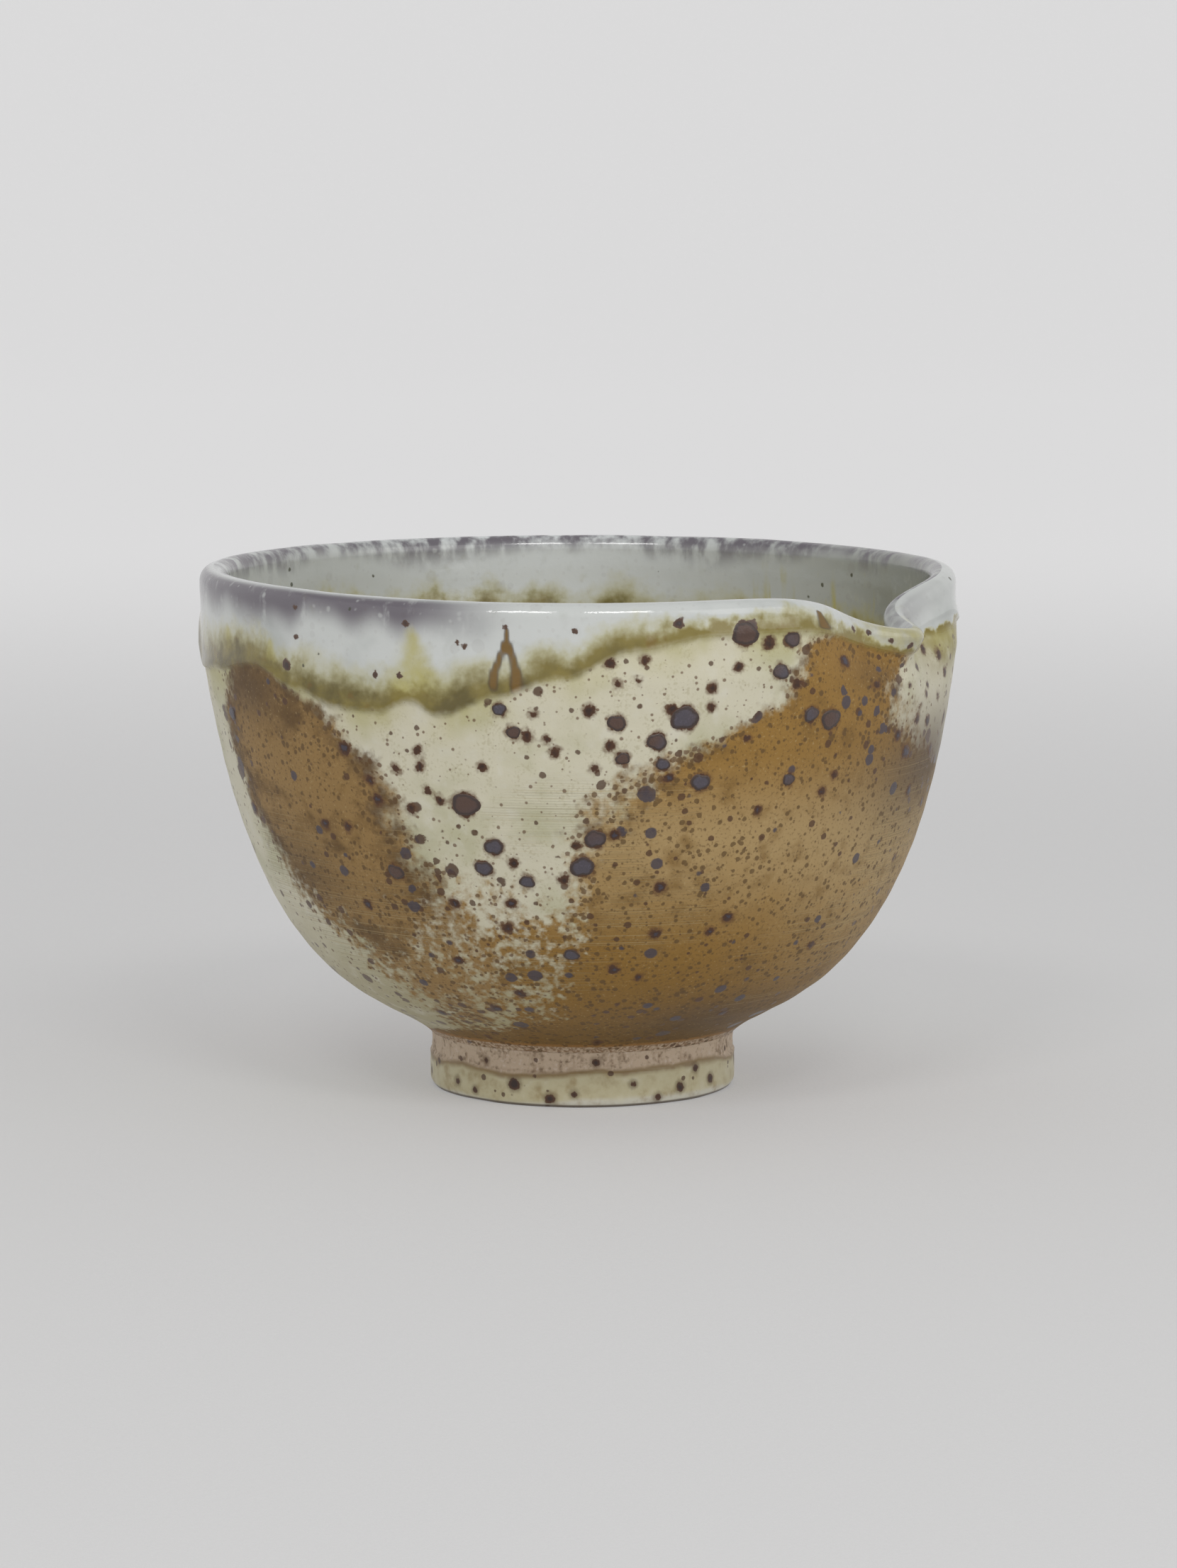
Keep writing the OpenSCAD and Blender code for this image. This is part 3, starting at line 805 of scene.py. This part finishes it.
def rim_colour(f, at):
    """Rim glaze: pale and glassy, mauve at the lip, breaking to olive where it thins at its edge; by the
    pouring lip the mauve is painted shade, and the inside holds painted shade and painted light.
    """
    pale = f.paint(
        PALE,
        # The inside is painted greyer: partly the liner's grey-green, partly painted shade
        (f.times(at.inside, 0.6), PALE_GREY),
        (f.step(at.cloud, 0, 0.8), PALE_GREY),
        # Painted shade on the inside's right wall
        (f.times(at.shade, at.inside, 0.65), GREY_GREEN),
        # Painted light: the back of the inside is painted paler
        (f.times(at.lit, at.inside, 0.9), PALE_LIT),
        (f.times(f.step(at.mottle, 0.2, 0.9), 0.4), PALE_GREY),
    )
    vertical = f.noise(2.4, 1, 4, seed=10, stretch=(1, 1, 0.5))
    mauve = f.times(at.blush, f.step(f.plus(vertical, f.times(at.inside, -0.6)), -1.1, -0.2))
    inner_streak = f.step(f.noise(2.6, 1, 3, seed=20, stretch=(1, 1, 0.12)), 0.05, 0.9)
    yellow = f.times(at.yellow, f.mix(at.inside, (1, 1, 1, 1), inner_streak))
    uneven = f.plus(at.run, f.noise(3.4, 1.7, 3, seed=8), f.noise(1.1, 0.6, 2, seed=9))
    share = f.math("DIVIDE", uneven, at.band)
    thick = f.step(f.plus(at.band, f.noise(5, 1.2, 2, seed=19)), 2.6, 5.0)
    patchy = f.step(f.noise(2.6, 1, 2, seed=25), 0.3, 0.9)
    return f.paint(
        pale,
        # Mauve blush, and painted shade by the pouring lip
        (f.times(mauve, 0.95), MAUVE),
        (f.times(mauve, f.specks(1.6, 0.8, 0.55, 24, 0.2), 0.5), PALE),
        (f.times(f.step(f.plus(yellow, f.times(at.mottle, 0.35)), 0.1, 1.2), 0.85), YELLOW_GREEN),
        (f.times(f.step(share, 1.7, 0.7), 0.6), YELLOW_GREEN),
        (f.times(f.step(share, 1.2, 0.3), 0.92), OLIVE),
        (f.times(f.step(share, 1.0, 0.3), thick, f.step(at.mottle, -0.7, 0.5), 0.85), OLIVE_DARK),
        (f.times(f.step(share, 1.2, 0.4), patchy, 0.6), AMBER),
        (f.times(f.step(f.plus(at.amber, f.times(at.mottle, 0.2)), 0.1, 0.6), 0.75), AMBER_DARK),
        (f.times(f.step(f.plus(at.amber, f.times(at.mottle, 0.3)), 0.3, 0.9), 0.95), AMBER),
        (f.times(f.specks(3.2, 1.3, 0.34, 21, 0.1), 0.85), RIM_SPECK),
    )


def iron_over(f, at, glazed):
    """Fine pepper, scattered specks and the listed spots over a colour, few of them in the rim glaze."""
    below = f.math("SUBTRACT", 1.0, f.times(at.rim, 0.92))
    low = f.times(f.step(f.z, 34, 16), 0.1)
    crowd = f.plus(f.times(at.fringe, 0.26), f.noise(14, 0.1, 1, seed=12), low)
    pepper = f.specks(0.9, 0.8, f.plus(0.4, f.times(at.thin, 0.18), crowd), 13, 0.08, 0.05)
    small = f.specks(2.3, 1.5, f.plus(0.4, f.times(at.thin, 0.05), crowd), 14, 0.08)
    middle = f.specks(4.0, 2.4, f.plus(0.46, crowd), 15)
    spot = f.plus(at.spot, f.noise(1.2, 0.4, 2, seed=16), f.noise(0.4, 0.14, 1, seed=23))
    listed = f.step(spot, -0.12, 0.12)
    halo = f.step(f.plus(spot, f.noise(1.5, 0.4, 2, seed=22)), -0.7, 0.1)
    core = f.step(f.plus(spot, f.times(at.thin, 0.35)), 0.7, 0.95)
    colour = f.paint(
        glazed,
        (f.times(pepper, below, 0.75), f.mix(at.thin, RUST, BROWN)),
        (f.times(small, below, 0.85), IRON_RED),
        (f.times(middle, below, 0.9), f.mix(at.thin, IRON_RED, IRON_BLUE)),
        (f.times(halo, below, 0.65), RUST),
        (listed, f.mix(core, f.mix(f.step(spot, 0.1, 0.7), IRON_RED, IRON), IRON_BLUE)),
    )
    return colour, f.math("MAXIMUM", listed, f.times(f.math("MAXIMUM", small, middle), below))


def glaze(name, ior):
    """The body glaze or the rim glaze: both have the whole layout of the bowl, so their edges meet."""
    f = Finish(name, IOR=ior)
    at = shared_masks(f)
    lines = turning_lines(f)
    stain = f.times(f.step(at.run, -7, 0), f.step(at.cloud, -0.6, 0.5), f.step(at.ragged, 2, -3), 0.45)
    body = f.mix(stain, body_colour(f, at, lines), YELLOW_GREEN)
    colour, iron = iron_over(f, at, f.mix(at.rim, body, rim_colour(f, at)))
    satin = f.plus(0.42, f.times(at.thin, 0.1), f.times(at.mottle, 0.05))
    gloss = f.plus(0.08, f.times(at.blush, 0.06), f.times(f.step(at.mottle, 0, 1), 0.03))
    rough = f.mix(at.rim, satin, gloss)
    f.finish(Base_Color=colour, Roughness=f.mix(iron, rough, IRON_ROUGH))
    grainy = f.times(at.grain, f.math("SUBTRACT", 1.0, at.rim), 0.35)
    peel = f.plus(f.times(f.noise(1.5, 1, 3, seed=17), 0.6), grainy)
    f.bump(f.plus(peel, f.times(lines, -1.2), f.times(iron, 0.8)), 0.025)
    return f.material


def foot_finish(name):
    """Body glaze on the foot: a rough mauve band over a cream one, with a pale bottom edge."""
    f = Finish(name)
    height = f.plus(f.z, f.noise(5, 0.4, 3, seed=1), f.noise(22, 1.3, 1, seed=6))
    streak = f.noise(0.8, 1, 3, seed=2, stretch=(1, 1, 0.35))
    grain = f.noise(0.7, 1, 2, seed=7)
    mottle = f.noise(2.4, 1, 4, seed=3)
    spot = f.plus(f.field("spot"), f.noise(0.8, 0.2, 2, seed=4))
    upper = f.step(height, 5.4, 6.1)
    colour = f.paint(
        FOOT_PALE,
        (f.step(height, 0.4, 1.4), FOOT_CREAM),
        (f.times(f.step(mottle, 0.0, 0.9), 0.7), CREAM),
        (f.times(f.step(mottle, 0.1, -0.9), 0.7), FOOT_DULL),
        (f.times(f.step(f.plus(height, f.times(mottle, 0.5)), 4.4, 5.5), 0.8), OCHRE_DEEP),
        (upper, FOOT_MAUVE),
        (f.times(upper, f.step(f.plus(streak, mottle), -0.2, 1.2), 0.6), FOOT_BROWN),
        (f.times(upper, f.step(f.plus(grain, f.times(mottle, 0.5)), 0.0, 0.9), 0.7), BROWN),
        (f.times(upper, f.step(grain, -0.2, -0.8), 0.6), FOOT_MAUVE_PALE),
        (f.times(f.specks(1.8, 1.3, 0.42, 5, 0.08), 0.85), IRON_RED),
        (f.times(f.step(spot, -0.8, 0), 0.5), BROWN),
        (f.step(spot, -0.1, 0.12), f.mix(f.step(spot, 0.1, 0.6), IRON_RED, IRON)),
        # A dark line at the very bottom: the clay edge, partly painted contact shadow
        (f.times(f.step(f.z, 0.6, 0.3), 0.85), FOOT_EDGE_AND_SHADOW),
    )
    f.finish(Base_Color=colour, Roughness=f.plus(0.36, f.times(upper, 0.22)))
    f.bump(f.plus(mottle, f.times(streak, upper, 1.5)), 0.03)
    return f.material


def clay_finish(name):
    """Bare fired stoneware with fine grit."""
    f = Finish(name)
    cloud = f.noise(7, 1, 4, seed=1)
    grit = f.noise(0.5, 1, 2, seed=2)
    colour = f.paint(
        CLAY,
        (f.step(cloud, -0.4, 0.8), CLAY_DARK),
        (f.times(f.step(grit, 0.2, 0.8), 0.5), CLAY_GRIT),
        (f.specks(2.2, 0.8, 0.4, 3, 0.08), IRON_RED),
    )
    f.finish(Base_Color=colour, Roughness=f.plus(0.8, f.times(grit, 0.06)))
    f.bump(f.plus(grit, f.times(cloud, 0.5)), 0.05)
    return f.material


def iron_finish(name):
    """Matt blue-violet iron with a dark red-brown edge."""
    f = Finish(name, Specular_IOR_Level=0.7)
    edge = f.plus(f.field("edge"), f.noise(0.7, 0.1, 2, seed=1))
    wrinkle = f.noise(0.35, 1, 3, seed=2)
    colour = f.paint(
        IRON_BLUE,
        (f.times(f.step(wrinkle, 0, 0.8), 0.5), IRON_SHEEN),
        (f.times(f.step(f.noise(13, 1, 1, seed=3), -0.2, 0.3), 0.85), IRON_RED),
        (f.step(edge, 0.62, 0.85), IRON),
        (f.times(f.step(edge, 0.85, 1.05), 0.8), IRON_RED),
    )
    f.finish(Base_Color=colour, Roughness=f.plus(0.36, f.times(wrinkle, 0.08)))
    f.bump(wrinkle, 0.03)
    return f.material


def floor_finish(name):
    """Pale matt paper with painted light: it glows everywhere, which lifts the bowl's shadow, and glows more
    away from the bowl.
    """
    f = Finish(name, Base_Color=PAPER, Roughness=0.9, Specular_IOR_Level=0.2, Emission_Color=PAPER_GLOW)
    away = f.add("ShaderNodeVectorMath", {"Vector": f.mm}, operation="LENGTH").outputs["Value"]
    # Painted light: a glow that lifts the bowl's shadow, more of it away from the bowl
    f.finish(Emission_Strength=f.plus(0.23, f.times(f.step(away, 240, 1000), 0.18)))
    f.bump(f.noise(0.6, 1, 3, seed=1), 0.02)
    return f.material


def dress(piece, material, node=None):
    """Gives a piece its material and the root body, and hides the CAD node that it stands for."""
    piece.data.materials.clear()
    piece.data.materials.append(material)
    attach(piece, "root")
    if node:
        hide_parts(node)


def build_bowl():
    run_s = s_outside(eased(RUN_LINE, ANGLES))
    body_glaze = glaze("body_glaze", 1.42)
    rim_glaze = glaze("rim_glaze", 1.65)
    wall = skin("wall_glaze_fired", 0 * run_s, run_s, 124)
    collar = skin("collar_glaze_fired", run_s, S_CREST + 0 * run_s, 56)
    floor_s = S_END - 0.3 + 0 * run_s
    liner = skin("liner_glaze_fired", S_CREST + 0 * run_s, floor_s, 122, 1.4, ends_in_middle=True)
    clay = clay_finish("bare_clay")
    dress(wall, body_glaze, "wall_glaze")
    dress(collar, rim_glaze, "collar_glaze")
    dress(liner, rim_glaze, "liner_glaze")
    dress(foot_glaze(), foot_finish("foot_glaze"), "foot_glaze")
    dress(foot_ring(), clay, "foot_ring")
    dress(iron_blooms(), iron_finish("iron_bloom"), "iron_blooms")
    for piece in bpy.data.objects:
        if piece.type == "MESH" and piece.name.startswith("bowl_wall"):
            for slot in piece.material_slots:
                slot.material = clay


# Metres and degrees; the azimuth turns from -Y towards +X
CAMERA_AZIMUTH = 31.0
CAMERA_DISTANCE = 0.8977
CAMERA_HEIGHT = 0.1657
CAMERA_PITCH = 7.47
CAMERA_ASIDE = 0.00095
CAMERA_LENS = 130.2


def heading(azimuth):
    """Level unit vector from the bowl towards something at an azimuth."""
    t = np.radians(azimuth)
    return Vector((np.sin(t), -np.cos(t), 0))


def add_camera():
    camera = bpy.data.objects.new("camera", bpy.data.cameras.new("camera"))
    bpy.context.scene.collection.objects.link(camera)
    t = np.radians(CAMERA_AZIMUTH)
    camera.location = heading(CAMERA_AZIMUTH) * CAMERA_DISTANCE
    camera.location += Vector((np.cos(t), np.sin(t), 0)) * CAMERA_ASIDE
    camera.location.z = CAMERA_HEIGHT
    camera.rotation_euler = (np.radians(90 - CAMERA_PITCH), 0, t)
    camera.data.sensor_width = 36
    camera.data.lens = CAMERA_LENS
    camera.data.clip_start = 0.01
    bpy.context.scene.camera = camera


def add_floor():
    """A pale floor that sweeps up to a wall all round, far outside the bowl."""
    flat_r, bend, wall_top = 1.8, 0.8, 2.4
    turn = np.linspace(0, np.pi / 2, 20)[1:]
    radii = np.concatenate([np.linspace(0.05, flat_r, 36), flat_r + bend * np.sin(turn), [flat_r + bend]])
    heights = np.concatenate([np.zeros(36), bend * (1 - np.cos(turn)), [wall_top]])
    t = np.radians(ANGLES[::5])
    r, z = radii[:, None], heights[:, None]
    points = np.stack([r * np.cos(t), r * np.sin(t), z + 0 * t], -1)
    rings = np.arange(points[..., 0].size).reshape(points.shape[:2])
    faces = np.concatenate([ring_faces(rings[i], rings[i + 1]) for i in range(len(radii) - 1)]).tolist()
    points = np.concatenate([points.reshape(-1, 3) / MM, [[0, 0, 0]]])
    faces += fan_faces(rings[0], len(points) - 1, False)
    floor = new_piece("floor", points, faces, {})
    floor.data.materials.append(floor_finish("paper"))


# Softboxes: azimuth from the camera's and elevation in degrees, distance, width and height in metres, watts
SOFTBOXES = {
    "window_left": (-19, 44, 1.3, 0.36, 0.26, 2.1),
    "window_right": (15, 44, 1.3, 0.34, 0.26, 2.1),
    "side_right": (58, 26, 1.5, 1.1, 0.9, 2.5),
}
SOFTBOX_COLOUR = (1.0, 0.995, 0.985)
SKY = (0.43, 0.43, 0.435, 1.0)


def add_lights():
    for name, (aside, elevation, distance, width, height, power) in SOFTBOXES.items():
        data = bpy.data.lights.new(name, "AREA")
        data.shape = "RECTANGLE"
        data.size, data.size_y = width, height
        data.energy = power
        data.color = SOFTBOX_COLOUR
        lamp = bpy.data.objects.new(name, data)
        bpy.context.scene.collection.objects.link(lamp)
        e = np.radians(elevation)
        towards = heading(CAMERA_AZIMUTH + aside) * np.cos(e) + Vector((0, 0, np.sin(e)))
        lamp.location = towards * distance + Vector((0, 0, 0.05))
        lamp.rotation_euler = towards.to_track_quat("Z", "Y").to_euler()
        lamp.visible_camera = False
    world = bpy.data.worlds.new("studio")
    world.use_nodes = True
    sky = world.node_tree.nodes["Background"]
    sky.inputs["Color"].default_value = SKY
    bpy.context.scene.world = world


bpy.context.scene.view_settings.view_transform = "Standard"
build_bowl()
add_floor()
add_camera()
add_lights()
